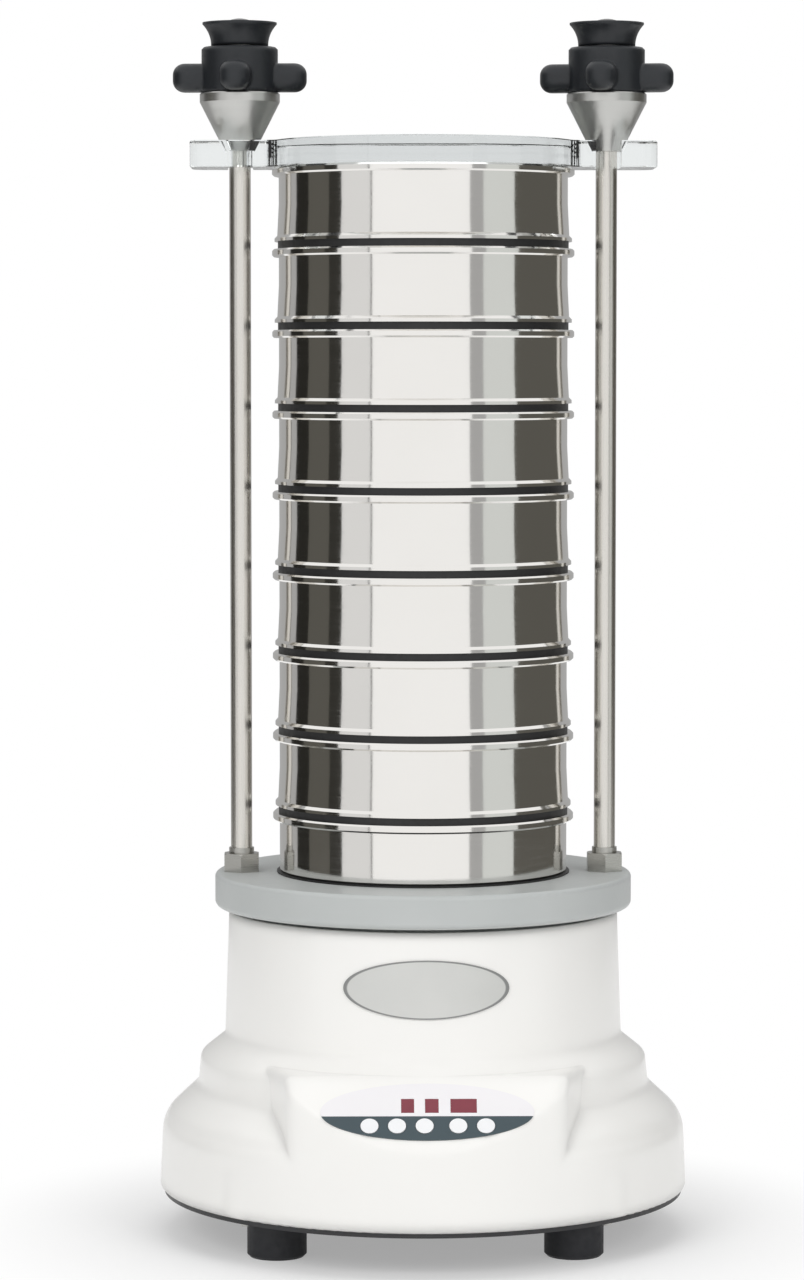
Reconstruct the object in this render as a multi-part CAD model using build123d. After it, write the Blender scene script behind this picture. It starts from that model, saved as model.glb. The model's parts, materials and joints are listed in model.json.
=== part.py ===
from build123d import *
import math
import os

# Sieve shaker carrying a pan and a stack of round test sieves under a quick-clamped cover plate.
# Millimetres, +Z up, origin on the floor below the stack's axis. The control panel faces -Y.
# Radii are built outward from the sieves, and heights upward from the floor.

# Pan and sieves: the 200 mm test sieve's sizes
sieve_count = 8
sieve_pitch = 56.5
sieve_inner_r = 100.0
sieve_wall = 1.3
rim_bead = 4.7
rim_h = 5.5
rim_round = 1.2
flare = 1.1
flare_h = 24.0
lip_bead = 3.0
lip_h = 2.2
lip_rise = 2.0
seal_h = 5.2
seal_bead = 0.7
skirt_gap = 1.5
skirt_nest = 8.0
mesh_t = 0.5
mesh_ledge = 0.8
pan_h = 41.8
pan_corner_round = 1.6

# Clear clamp plate with a slot at each rod
cover_t = 18.5
cover_margin = 1.5
cover_ear_reach = 34.6
cover_ear_w = 57.0
cover_ear_round = 12.0
cover_neck_round = 10.0
cover_edge_chamfer = 0.8
slot_w = 18.0

# Tie rods with their nuts and end caps
rod_d = 15.0
rod_spacing = 22.4
rod_seat = 1.5
rod_stop = 9.55
rod_cap_d = 27.0
rod_cap_edge_h = 2.0
rod_cap_h = 7.0
nut_flats = 24.0
nut_h = 13.0
nut_chamfer = 1.2
nut_collar_d = 17.6
nut_collar_h = 4.0

# Sieve plate and the seal under the pan
plate_margin = 18.6
plate_t = 23.5
plate_gap = 3.0
plate_top_round = 3.0
plate_bottom_round = 4.0
plate_boss_gap = 11.2
plate_boss_h = 8.5
pan_seal_bead = 2.1
pan_seal_w = 8.0
pan_seal_depth = 2.5
pan_seal_proud = 1.0

# Housing: the steps of the outer shell, from the neck outward, and their heights
wall = 4.0
plate_overhang = 9.8
neck_h = 88.6
neck_draft = 3.0
tier_step = 17.1
tier_h = 19.8
tier_draft = 1.9
tier_round = 7.0
tier_slope_h = 13.7
shoulder_step = 24.9
shoulder_h = 23.2
shoulder_round = 26.0
drum_h = 51.2
drum_draft = 2.3
inner_round = 7.0
rim_edge_round = 3.5

# Feet and base plate
foot_d = 41.0
foot_height = 28.0
foot_inset = 38.9
foot_edge_round = 2.0
foot_screw_d = 6.0
foot_screw_head_d = 14.0
foot_screw_head_h = 5.0
foot_screw_room = 1.0
foot_recess_depth = 9.0
base_plate_inset = 3.0
base_plate_t = 3.0
rim_screw_inset = 9.4
rim_screw_d = 4.0
rim_screw_head_d = 8.4
rim_screw_head_h = 3.0
rim_boss_d = 18.0
rim_boss_h = 30.0

# Front pod and the tilted face that carries the control panel
pod_tilt = 36.0
panel_setback = 20.4
panel_rise = 28.1
pod_rise = 49.8
pod_margin = 12.0
pod_flare = 18.0
pod_corner_round = 10.0
pod_edge_round = 5.0

# Control panel
panel_w = 144.0
panel_h = 42.2
panel_margin = 2.5
overlay_t = 0.9
band_line = -3.3
window_x = (-13.2, 3.1, 24.5)
window_w = (8.8, 9.2, 17.8)
window_h = 10.5
window_mid = 4.4
window_recess = 0.3
key_x = (-38.9, -20.4, -1.9, 20.7, 39.3)
key_w = 12.0
key_h = 10.8
key_mid = -10.6
key_proud = 0.5
key_clearance = 0.35
key_travel = 0.6
key_flange_t = 1.0
key_flange_w = 1.2
board_depth = 12.0
board_margin_w = 10.0
board_margin_h = 4.1
board_t = 1.6
standoff_d = 6.0
standoff_inset_x = 12.0
standoff_inset_y = 6.0
module_border = 1.6
switch_w = 6.0
switch_body_h = 3.4
switch_plunger_d = 3.4
switch_gap = 0.1

# Oval plate on the neck
name_plate_w = 113.0
name_plate_h = 40.0
name_plate_drop = 38.5
name_plate_t = 1.0

# Mains inlet, rocker and fuse drawer at the back
inlet_rise = 21.0
pocket_depth = 5.9
pocket_margin = 3.0
pocket_round = 5.0
pocket_wall = 4.5
inlet_flange_w = 68.0
inlet_flange_h = 28.0
inlet_flange_t = 2.2
inlet_lip_w = 3.0
inlet_lip_h = 2.5
inlet_body_depth = 28.0
inlet_fit = 0.3
socket_x = 2.2
socket_w = 24.4
socket_h = 16.6
socket_depth = 17.0
socket_chamfer = 4.5
pin_w = 4.0
pin_t = 2.0
pin_len = 14.0
pin_spacing = 14.0
pin_rise = 4.0
rocker_x = -22.0
rocker_w = 12.0
rocker_r = 9.9
rocker_gap = 0.3
rocker_inset = 5.5
rocker_face = 5.0
rocker_angle = 10.0
fuse_x = 23.3
fuse_w = 9.0
fuse_h = 19.4
fuse_depth = 20.0
fuse_gap = 0.3
fuse_grip = 1.6

# Pedestal, magnet and buffers
pedestal_foot_h = 12.0
pedestal_arm_w = 30.0
pedestal_arm_end = 18.0
pedestal_column_d = 70.0
table_margin_w = 6.0
table_margin_d = 7.0
pedestal_table_t = 10.0
buffer_inset = 26.0
pillar_d = 32.0
pillar_top_d = 26.0
buffer_d = 30.0
buffer_h = 30.0
core_w = 84.0
core_d = 50.0
core_h = 60.5
core_leg_w = 28.0
core_side_leg_w = 14.0
core_slot_h = 42.0
coil_gap = 0.7
coil_drop = 6.0
coil_overhang = 13.0
coil_fit = 0.4
air_gap = 2.5
armature_t = 16.0
armature_screw_d = 8.0
armature_screw_head_d = 12.8
armature_screw_head_h = 4.0
armature_screw_inset = 12.0
power_board_w = 92.0
power_board_d = 46.0
power_board_gap = 7.5
power_post_h = 8.0
heat_sink_h = 30.0
capacitor_d = 22.0
capacitor_h = 34.0

# Quick clamps: cone, collet, knob and release head
cone_tip_r = 10.6
cone_sink = 6.8
cone_half_angle = 27.0
cone_rim_r = 28.0
cone_rim_h = 6.4
cone_edge = 0.8
cone_seat_gap = 0.3
rod_fit = 0.05
spigot_r = 16.0
spigot_inner_r = 12.8
spigot_h = 19.0
taper_bottom_r = 9.2
taper_h = 34.0
taper_start = 17.0
collet_fit = 0.03
collet_gap = 0.1
collet_edge = 1.0
collet_slit = 1.6
collet_stem_r = 11.4
collet_shoulder_r = 15.0
collet_shoulder_h = 5.0
knob_gap = 0.6
knob_reach = 47.0
knob_lobe_w = 21.0
knob_lobe_h = 20.0
knob_lobe_round = 8.0
knob_crotch_round = 12.0
knob_hub_r = 26.7
knob_hub_h = 11.2
knob_hub_edge = 1.6
knob_bore_rise = 4.6
knob_fit = 0.1
stem_fit = 0.4
knob_turned = {"left": -4.0, "right": -10.0}
head_gap = 1.2
head_neck_r = 20.0
head_rim_r = 26.0
head_h = 16.0
head_flare = 8.25
head_swell = 1.62
head_rim_t = 1.2
head_floor_t = 2.4
head_cup_r = 16.4

# Radii and distances from the axis that follow from the sizes above
sieve_outer_r = sieve_inner_r + sieve_wall
rim_r = sieve_outer_r + rim_bead
lip_r = sieve_outer_r + lip_bead
seal_r = sieve_outer_r + seal_bead
skirt_r = sieve_inner_r - skirt_gap
pan_seal_r = sieve_outer_r + pan_seal_bead
cover_r = rim_r + cover_margin
rod_r = rod_d / 2
rod_x = rim_r + rod_spacing
cover_length = 2 * (rod_x + cover_ear_reach)
plate_r = rod_x + plate_margin
neck_top_r = plate_r - plate_overhang
plate_boss_r = neck_top_r - plate_boss_gap
neck_r = neck_top_r + neck_draft
tier_top_r = neck_r + tier_step
tier_r = tier_top_r + tier_draft
drum_top_r = tier_r + shoulder_step
base_r = drum_top_r + drum_draft
base_plate_r = base_r - base_plate_inset
foot_xy = (base_plate_r - foot_inset) * math.sqrt(0.5)
rim_screw_xy = (base_plate_r - rim_screw_inset) * math.sqrt(0.5)
pillar_circle_r = plate_boss_r - buffer_inset
pillar_xy = pillar_circle_r * math.sqrt(0.5)
pedestal_arm_r = pillar_circle_r + pedestal_arm_end
armature_screw_x = core_w / 2 - armature_screw_inset
pocket_y = base_r - pocket_depth
power_board_y = pocket_y - inlet_body_depth - power_board_gap - power_board_d / 2

# Heights that follow from the sizes above
shell_z = foot_height + base_plate_t
drum_top_z = shell_z + drum_h
tier_z = drum_top_z + shoulder_h
tier_top_z = tier_z + tier_h
neck_z = tier_top_z + tier_slope_h
neck_top_z = neck_z + neck_h
pod_top_z = drum_top_z + pod_rise
name_plate_z = neck_top_z - name_plate_drop
inlet_z = shell_z + inlet_rise
plate_z = neck_top_z + plate_gap
plate_top_z = plate_z + plate_t
boss_z = plate_z - plate_boss_h
pan_z = plate_top_z + pan_seal_proud
pan_rim_z = pan_z + pan_h
cover_z = pan_rim_z + sieve_count * sieve_pitch
cover_top_z = cover_z + cover_t
cone_slope = math.tan(math.radians(cone_half_angle))
cone_tip_z = cover_top_z - cone_sink
cone_rim_z = cone_tip_z + (cone_rim_r - cone_tip_r) / cone_slope
cone_top_z = cone_rim_z + cone_rim_h
spigot_top_z = cone_top_z + spigot_h
knob_z = cone_top_z + knob_gap
knob_hub_z = knob_z + knob_lobe_h
knob_top_z = knob_hub_z + knob_hub_h
knob_bore_z = knob_hub_z + knob_bore_rise
head_z = knob_top_z + head_gap
rod_top_z = head_z + head_floor_t + rod_stop
pedestal_table_z = boss_z - armature_t - air_gap - core_h
buffer_z = boss_z - buffer_h
armature_z = boss_z - armature_t

# Widths that fit within or around another piece
pod_half_w = panel_w / 2 + pod_margin
board_w = panel_w - 2 * board_margin_w
board_h = panel_h - 2 * board_margin_h
standoff_x = board_w / 2 - standoff_inset_x
standoff_y = board_h / 2 - standoff_inset_y
pocket_w = inlet_flange_w + 2 * pocket_margin
pocket_h = inlet_flange_h + 2 * pocket_margin
inlet_body_w = inlet_flange_w - 2 * inlet_lip_w
inlet_body_h = inlet_flange_h - 2 * inlet_lip_h
coil_w = core_w - 2 * core_side_leg_w - 2 * coil_gap
coil_h = core_slot_h - coil_drop

panel = Plane(
    origin=(0, panel_setback - base_r, drum_top_z + panel_rise),
    x_dir=(1, 0, 0),
    z_dir=(0, -math.cos(math.radians(pod_tilt)), math.sin(math.radians(pod_tilt))),
)
back = Plane(origin=(0, pocket_y, inlet_z), x_dir=(-1, 0, 0), z_dir=(0, 1, 0))


def save(name, *solids):
    """Writes one node; several solids stay separate in it."""
    shape = solids[0] if len(solids) == 1 else Compound(children=list(solids))
    export_step(shape, os.path.join("parts", name + ".step"))


def cyl(r, z0, z1, x=0.0, y=0.0):
    return Pos(x, y, (z0 + z1) / 2) * Cylinder(r, z1 - z0)


def tapered(r0, r1, z0, z1, x=0.0, y=0.0):
    return Pos(x, y, (z0 + z1) / 2) * Cone(r0, r1, z1 - z0)


def block(x0, x1, y0, y1, z0, z1):
    return Pos((x0 + x1) / 2, (y0 + y1) / 2, (z0 + z1) / 2) * Box(x1 - x0, y1 - y0, z1 - z0)


def turned(points, x=0.0, y=0.0):
    """The solid of a closed (radius, height) outline turned about a vertical axis at x, y."""
    outline = Polyline(*[(r, 0, z) for r, z in points], close=True)
    return Pos(x, y, 0) * revolve(make_face(outline), Axis.Z)


def tube(r_out, r_in, z0, z1, x=0.0, y=0.0):
    return cyl(r_out, z0, z1, x, y) - cyl(r_in, z0, z1, x, y)


def four_corners(distance):
    return [(sx * distance, sy * distance) for sx in (-1, 1) for sy in (-1, 1)]


def only(shape):
    """The single solid that a boolean result holds."""
    solids = shape.solids()
    return solids[0] if len(solids) == 1 else shape


def shell_outline():
    """Half section of the housing's outer surface, its corners rounded, closed along the axis."""
    corners = [
        (base_r - 2 * rim_edge_round, shell_z),
        (base_r, shell_z),
        (drum_top_r, drum_top_z),
        (tier_r, tier_z),
        (tier_top_r, tier_top_z),
        (neck_r, neck_z),
        (neck_top_r, neck_top_z),
    ]
    rounds = [rim_edge_round, shoulder_round, inner_round, tier_round, inner_round]
    side = FilletPolyline(*[(r, 0, z) for r, z in corners], radius=rounds)
    top = Line((neck_top_r, 0, neck_top_z), (0, 0, neck_top_z))
    axis = Line((0, 0, neck_top_z), (0, 0, shell_z))
    bottom = Line((0, 0, shell_z), (base_r - 2 * rim_edge_round, 0, shell_z))
    return make_face(Wire([*side.edges(), top.edge(), axis.edge(), bottom.edge()]))


def shell_cavity():
    """The room inside the drum, shoulders and neck, one wall in from the outer corners."""
    return turned([
        (0, shell_z),
        (base_r - wall, shell_z),
        (drum_top_r - wall, drum_top_z - wall / 2),
        (tier_r - wall, tier_z - wall / 2),
        (neck_r - wall, neck_z - wall),
        (neck_top_r - wall, neck_top_z),
        (0, neck_top_z),
    ])


def pod(inset):
    """The raised front pod from above the rim's rounding, each of its faces moved in by inset."""
    reach = pod_top_z - inset
    floor_z = shell_z + 2 * rim_edge_round
    draft = (base_r - drum_top_r) / drum_h
    drum_wall = turned([
        (0, shell_z),
        (base_r - inset, shell_z),
        (base_r - inset - draft * (reach - shell_z), reach),
        (0, reach),
    ])
    flare = math.tan(math.radians(pod_flare))
    back_y = -base_r / 3
    front = pod_half_w - inset
    rear = front + flare * (base_r + back_y)
    plan = Polyline(
        (-front, -base_r, floor_z),
        (front, -base_r, floor_z),
        (rear, back_y, floor_z),
        (-rear, back_y, floor_z),
        close=True,
    )
    prism = extrude(make_face(plan), amount=reach - floor_z, dir=(0, 0, 1))
    over_face = panel.offset(-inset) * Pos(0, 0, base_r / 2) * Box(4 * base_r, 4 * base_r, base_r)
    return only((drum_wall & prism) - over_face)


def on_panel(shape, depth0, depth1):
    """A flat shape drawn on the tilted face, as a solid between two depths behind that face."""
    return panel.offset(-depth1) * extrude(shape, amount=depth1 - depth0)


def windows(border=0.0):
    h = window_h + 2 * border
    return [Pos(x, window_mid) * Rectangle(w + 2 * border, h) for x, w in zip(window_x, window_w)]


def keys_outline(grow=0.0):
    return [Pos(x, key_mid) * Ellipse(key_w / 2 + grow, key_h / 2 + grow) for x in key_x]


def housing():
    body = revolve(shell_outline(), Axis.Z)
    front = pod(0)
    upright = [e for e in front.edges() if abs(e.tangent_at(0.5).Z) > 0.9 and e.center().Y < -tier_r / 2]
    front = fillet(upright, pod_corner_round)
    tilted = front.faces().filter_by(lambda f: f.normal_at().dot(panel.z_dir) > 0.999)
    roof = front.faces().filter_by(lambda f: f.normal_at().Z > 0.999).sort_by(Axis.Z)[-1]
    sides = [e for e in roof.edges() if abs(e.center().X) > panel_w / 2 and e.center().Y < -neck_r / 2]
    front = fillet(tilted.edges() + sides, pod_edge_round)
    body = body + front
    body -= shell_cavity() - block(
        -pocket_w / 2 - wall, pocket_w / 2 + wall, pocket_y - pocket_wall, 2 * base_r, shell_z, drum_top_z
    )
    body -= pod(wall)
    body -= on_panel(Ellipse(panel_w / 2 + panel_margin, panel_h / 2 + panel_margin), -shoulder_round, 0)
    for x, y in four_corners(rim_screw_xy):
        body += cyl(rim_boss_d / 2, shell_z, shell_z + rim_boss_h, x, y)
        body -= cyl(rim_screw_d / 2, shell_z, shell_z + rim_boss_h - wall, x, y)
    for outline in windows():
        body -= on_panel(outline, -wall, 2 * wall)
    for outline in keys_outline(key_clearance):
        body -= on_panel(outline, -wall, 2 * wall)
    pocket = RectangleRounded(pocket_w, pocket_h, pocket_round)
    body -= back * extrude(pocket, amount=2 * pocket_depth)
    opening = Rectangle(inlet_body_w + 2 * inlet_fit, inlet_body_h + 2 * inlet_fit)
    body -= back * extrude(opening, amount=-pocket_wall * 2)
    return only(body)


def panel_sheet():
    """The oval overlay's upper white part and the dark band below it."""
    oval = Ellipse(panel_w / 2, panel_h / 2)
    upper = Pos(0, band_line + panel_h / 2) * Rectangle(panel_w, panel_h)
    overlay = oval & upper
    band = oval - upper
    for outline in windows():
        overlay -= outline
    for outline in keys_outline(key_clearance):
        band -= outline
    return on_panel(overlay, -overlay_t, 0), on_panel(band, -overlay_t, 0)


def key(x):
    cap = Pos(x, key_mid) * Ellipse(key_w / 2, key_h / 2)
    flange = Pos(x, key_mid) * Ellipse(key_w / 2 + key_flange_w, key_h / 2 + key_flange_w)
    return on_panel(cap, -overlay_t - key_proud, wall) + on_panel(flange, wall, wall + key_flange_t)


def key_switch(x):
    body = Pos(x, key_mid) * Rectangle(switch_w, switch_w)
    plunger = Pos(x, key_mid) * Circle(switch_plunger_d / 2)
    reach = wall + key_flange_t + key_travel + switch_gap
    base = board_depth - switch_body_h
    return on_panel(body, base, board_depth) + on_panel(plunger, reach, base)


def name_plate():
    """An oval cut from a thin skin over the tapered neck."""
    draft = neck_draft / neck_h
    low = name_plate_z - name_plate_h
    high = name_plate_z + name_plate_h
    r_low = neck_r - draft * (low - neck_z)
    r_high = neck_r - draft * (high - neck_z)
    skin = tapered(r_low + name_plate_t, r_high + name_plate_t, low, high)
    skin -= tapered(r_low, r_high, low, high)
    face = Plane(origin=(0, 0, name_plate_z), x_dir=(1, 0, 0), z_dir=(0, -1, 0))
    return only(skin & (face * extrude(Ellipse(name_plate_w / 2, name_plate_h / 2), amount=2 * neck_r)))


def base_plate():
    plate = cyl(base_plate_r, foot_height, shell_z)
    for x, y in four_corners(foot_xy):
        plate -= cyl(foot_screw_d / 2, foot_height, shell_z, x, y)
    for x, y in four_corners(rim_screw_xy):
        plate -= cyl(rim_screw_d / 2, foot_height, shell_z, x, y)
    return plate


def rubber_foot(x, y):
    foot = cyl(foot_d / 2, 0, foot_height)
    foot = chamfer(foot.edges().sort_by(Axis.Z)[0], foot_edge_round)
    foot -= cyl(foot_screw_head_d / 2 + foot_screw_room, 0, foot_recess_depth)
    foot -= cyl(foot_screw_d / 2, foot_recess_depth, foot_height)
    return Pos(x, y, 0) * foot


def foot_screw(x, y):
    head_z = foot_recess_depth - foot_screw_head_h
    return cyl(foot_screw_head_d / 2, head_z, foot_recess_depth, x, y) + cyl(
        foot_screw_d / 2, foot_recess_depth, shell_z, x, y
    )


def rim_screw(x, y):
    head = cyl(rim_screw_head_d / 2, foot_height - rim_screw_head_h, foot_height, x, y)
    head = chamfer(head.edges().sort_by(Axis.Z)[0], rim_screw_head_h / 3)
    return head + cyl(rim_screw_d / 2, foot_height, shell_z + rim_boss_h / 2, x, y)


def pedestal():
    """Cast spider on the base plate: four arms, a pillar on each for a buffer, a column for the magnet."""
    body = cyl(pedestal_column_d / 2, shell_z, pedestal_table_z)
    for angle in (45, 135):
        body += Rot(0, 0, angle) * block(
            -pedestal_arm_r, pedestal_arm_r, -pedestal_arm_w / 2, pedestal_arm_w / 2,
            shell_z, shell_z + pedestal_foot_h,
        )
    for x, y in four_corners(pillar_xy):
        body += tapered(pillar_d / 2, pillar_top_d / 2, shell_z, buffer_z, x, y)
    half_w = core_w / 2 + table_margin_w
    half_d = core_d / 2 + table_margin_d
    body += block(-half_w, half_w, -half_d, half_d, pedestal_table_z - pedestal_table_t, pedestal_table_z)
    return only(body)


def magnet_core():
    """E-shaped stack of laminations, its legs pointing up at the armature."""
    z0 = pedestal_table_z
    core = block(-core_w / 2, core_w / 2, -core_d / 2, core_d / 2, z0, z0 + core_h)
    inner = core_w / 2 - core_side_leg_w
    for side in (-1, 1):
        x0, x1 = sorted((side * core_leg_w / 2, side * inner))
        core -= block(x0, x1, -core_d / 2, core_d / 2, z0 + core_h - core_slot_h, z0 + core_h)
    return core


def magnet_coil():
    z0 = pedestal_table_z + core_h - core_slot_h
    half_w = coil_w / 2
    half_d = core_d / 2 + coil_overhang
    coil = block(-half_w, half_w, -half_d, half_d, z0, z0 + coil_h)
    coil = fillet(coil.edges().filter_by(Axis.Z), coil_overhang / 2)
    hole_w = core_leg_w / 2 + coil_fit
    hole_d = core_d / 2 + coil_fit
    return coil - block(-hole_w, hole_w, -hole_d, hole_d, z0, z0 + coil_h)


def armature_screw(x):
    z0 = armature_z + armature_screw_head_h
    return cyl(armature_screw_d / 2, z0, boss_z + plate_boss_h, x) + cyl(
        armature_screw_head_d / 2, armature_z, z0, x
    )


def armature():
    body = block(-core_w / 2, core_w / 2, -core_d / 2, core_d / 2, armature_z, boss_z)
    for x in (-armature_screw_x, armature_screw_x):
        body -= armature_screw(x)
    return only(body)


def power_board():
    z0 = shell_z + power_post_h
    y0 = power_board_y - power_board_d / 2
    y1 = power_board_y + power_board_d / 2
    half = power_board_w / 2
    board = block(-half, half, y0, y1, z0, z0 + board_t)
    for x in (-half + standoff_d, half - standoff_d):
        for y in (y0 + standoff_d, y1 - standoff_d):
            board += cyl(standoff_d / 2, shell_z, z0, x, y)
    sink_x = half - 2 * standoff_d
    sink_y0 = y0 + 2 * standoff_d
    sink_y1 = y1 - 2 * standoff_d
    board += block(sink_x - standoff_d, sink_x, sink_y0, sink_y1, z0, z0 + heat_sink_h)
    board += cyl(capacitor_d / 2, z0, z0 + capacitor_h, -half / 2, power_board_y - standoff_d / 2)
    return only(board)


def on_back(shape, out0, out1):
    """A flat shape drawn on the rear pocket's floor, as a solid between two distances out of it."""
    return back.offset(out0) * extrude(shape, amount=out1 - out0)


def mains_inlet():
    body = on_back(RectangleRounded(inlet_flange_w, inlet_flange_h, wall), 0, inlet_flange_t)
    body += on_back(Rectangle(inlet_body_w, inlet_body_h), -inlet_body_depth, 0)
    socket = Pos(-socket_x, 0) * Rectangle(socket_w, socket_h)
    top_corners = socket.vertices().sort_by(Axis.Y)[-2:]
    socket = chamfer(top_corners, socket_chamfer)
    body -= on_back(socket, inlet_flange_t - socket_depth, inlet_flange_t)
    drawer = Pos(-fuse_x, 0) * Rectangle(fuse_w + 2 * fuse_gap, fuse_h + 2 * fuse_gap)
    body -= on_back(drawer, inlet_flange_t - fuse_depth - fuse_gap, inlet_flange_t)
    body -= rocker_barrel(rocker_r + rocker_gap, rocker_w + 2 * rocker_gap)
    return only(body)


def rocker_barrel(r, w):
    pivot_y = pocket_y + inlet_flange_t - rocker_inset
    return Pos(rocker_x, pivot_y, inlet_z) * Rot(0, 90, 0) * Cylinder(r, w)


def power_rocker():
    """A barrel about its pivot with two faces that meet in a shallow valley, resting on one side."""
    pivot_y = pocket_y + inlet_flange_t - rocker_inset
    rise = rocker_r * math.tan(math.radians(rocker_angle))
    side = Polyline(
        (0, rocker_face, 0),
        (0, rocker_face + rise, rocker_r),
        (0, 3 * rocker_r, rocker_r),
        (0, 3 * rocker_r, -rocker_r),
        (0, rocker_face + rise, -rocker_r),
        close=True,
    )
    front = extrude(make_face(side), amount=rocker_w, dir=(1, 0, 0), both=True)
    barrel = Rot(0, 90, 0) * Cylinder(rocker_r, rocker_w)
    return only(Pos(rocker_x, pivot_y, inlet_z) * Rot(-rocker_angle, 0, 0) * (barrel - front))


def fuse_drawer():
    face = Pos(-fuse_x, 0) * Rectangle(fuse_w, fuse_h)
    body = on_back(face, inlet_flange_t - fuse_depth, inlet_flange_t)
    grip = Pos(-fuse_x, -fuse_h / 2 + fuse_grip) * Rectangle(fuse_w, fuse_grip)
    return only(body - on_back(grip, inlet_flange_t - fuse_grip, inlet_flange_t))


def inlet_pins():
    z0 = inlet_flange_t - socket_depth
    outlines = [
        Pos(-socket_x - pin_spacing / 2, -pin_rise / 2) * Rectangle(pin_t, pin_w),
        Pos(-socket_x + pin_spacing / 2, -pin_rise / 2) * Rectangle(pin_t, pin_w),
        Pos(-socket_x, pin_rise / 2) * Rectangle(pin_t, pin_w),
    ]
    return [on_back(outline, z0, z0 + pin_len) for outline in outlines]


def sieve_plate():
    plate = cyl(plate_r, plate_z, plate_top_z)
    plate = fillet(plate.edges().sort_by(Axis.Z)[-1], plate_top_round)
    plate = fillet(plate.edges().sort_by(Axis.Z)[0], plate_bottom_round)
    plate += cyl(plate_boss_r, boss_z, plate_z)
    plate -= tube(pan_seal_r, pan_seal_r - pan_seal_w, plate_top_z - pan_seal_depth, plate_top_z)
    for x in (-rod_x, rod_x):
        plate -= cyl(rod_r, plate_z + rod_seat, plate_top_z, x)
    for x in (-armature_screw_x, armature_screw_x):
        plate -= armature_screw(x)
    return only(plate)


def pan_seal():
    return tube(pan_seal_r, pan_seal_r - pan_seal_w, plate_top_z - pan_seal_depth, pan_z)


def rod_nut(x):
    hexagon = RegularPolygon(nut_flats / 2, 6, major_radius=False, rotation=30)
    nut = Pos(x, 0, plate_top_z) * extrude(hexagon, amount=nut_h)
    nut_top_z = plate_top_z + nut_h
    corner_r = nut_flats / 2 / math.cos(math.radians(30))
    nut &= tapered(corner_r + nut_h - nut_chamfer, corner_r - nut_chamfer, plate_top_z, nut_top_z, x)
    nut += cyl(nut_collar_d / 2, nut_top_z, nut_top_z + nut_collar_h, x)
    return only(nut - cyl(rod_r, plate_top_z, cover_z, x))


def rod_cap(x):
    r = rod_cap_d / 2
    rise = rod_cap_h - rod_cap_edge_h
    edge_z = rod_top_z + rod_cap_edge_h
    ball_r = (r * r + rise * rise) / (2 * rise)
    centre_z = edge_z + rise - ball_r
    half_turn = math.asin(r / ball_r) / 2
    middle = (ball_r * math.sin(half_turn), 0, centre_z + ball_r * math.cos(half_turn))
    dome = ThreePointArc((r, 0, edge_z), middle, (0, 0, edge_z + rise))
    sides = Polyline((0, 0, edge_z + rise), (0, 0, rod_top_z), (r, 0, rod_top_z), (r, 0, edge_z))
    return Pos(x, 0, 0) * revolve(make_face(Wire([dome.edge(), *sides.edges()])), Axis.Z)


def rim_points(top_z, inner_r):
    """The rolled rim's outline, from its inner top edge round to the wall below it."""
    return [
        (inner_r, top_z),
        (rim_r - rim_round, top_z),
        (rim_r, top_z - rim_round),
        (rim_r, top_z - rim_h + rim_round),
        (rim_r - rim_round, top_z - rim_h),
        (sieve_outer_r, top_z - rim_h),
    ]


def pan():
    shell = turned([
        *rim_points(pan_rim_z, sieve_inner_r),
        (sieve_outer_r, pan_z + pan_corner_round),
        (sieve_outer_r - pan_corner_round, pan_z),
        (0, pan_z),
        (0, pan_z + sieve_wall),
        (sieve_inner_r - pan_corner_round, pan_z + sieve_wall),
        (sieve_inner_r, pan_z + sieve_wall + pan_corner_round),
    ])
    return shell


def sieve(top_z):
    """Frame with a rolled rim, a wall that flares to a lip, and a skirt that nests below; and its mesh."""
    floor_z = top_z - sieve_pitch
    lip_z = floor_z + seal_h
    ledge_z = lip_z + mesh_ledge
    frame = turned([
        *rim_points(top_z, sieve_inner_r),
        (sieve_outer_r, lip_z + lip_h + flare_h),
        (sieve_outer_r + flare, lip_z + lip_h + lip_rise),
        (lip_r, lip_z + lip_h),
        (lip_r, lip_z),
        (skirt_r, lip_z),
        (skirt_r, floor_z - skirt_nest),
        (skirt_r - sieve_wall, floor_z - skirt_nest),
        (skirt_r - sieve_wall, ledge_z),
        (sieve_inner_r, ledge_z),
    ])
    mesh = cyl(sieve_inner_r, ledge_z, ledge_z + mesh_t)
    return frame, mesh


def sieve_seal(top_z):
    floor_z = top_z - sieve_pitch
    return tube(seal_r, skirt_r, floor_z, floor_z + seal_h)


def cover_plate():
    """Clear disc with an ear over each rod; the right slot opens to the front, the left to the back."""
    ears = RectangleRounded(cover_length, cover_ear_w, cover_ear_round)
    outline = Circle(cover_r) + ears
    notches = [v for v in outline.vertices() if abs(math.hypot(v.X, v.Y) - cover_r) < cover_edge_chamfer]
    outline = fillet(notches, cover_neck_round)
    plate = Pos(0, 0, cover_z) * extrude(outline, amount=cover_t)
    rims = plate.faces().sort_by(Axis.Z)[-1].edges() + plate.faces().sort_by(Axis.Z)[0].edges()
    plate = chamfer(rims, cover_edge_chamfer)
    for side in (-1, 1):
        x = side * rod_x
        y_open = -side * cover_ear_w
        y0, y1 = sorted((0.0, y_open))
        plate -= cyl(slot_w / 2, cover_z, cover_top_z, x)
        plate -= block(x - slot_w / 2, x + slot_w / 2, y0, y1, cover_z, cover_top_z)
        sink = cone_seat_gap / math.cos(math.radians(cone_half_angle))
        top_r = cone_tip_r + cone_sink * cone_slope + sink
        plate -= tapered(cone_tip_r + sink, top_r, cone_tip_z, cover_top_z, x)
        plate -= cyl(cone_tip_r + sink, cone_tip_z - cone_seat_gap, cone_tip_z, x)
    return only(plate)


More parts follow.
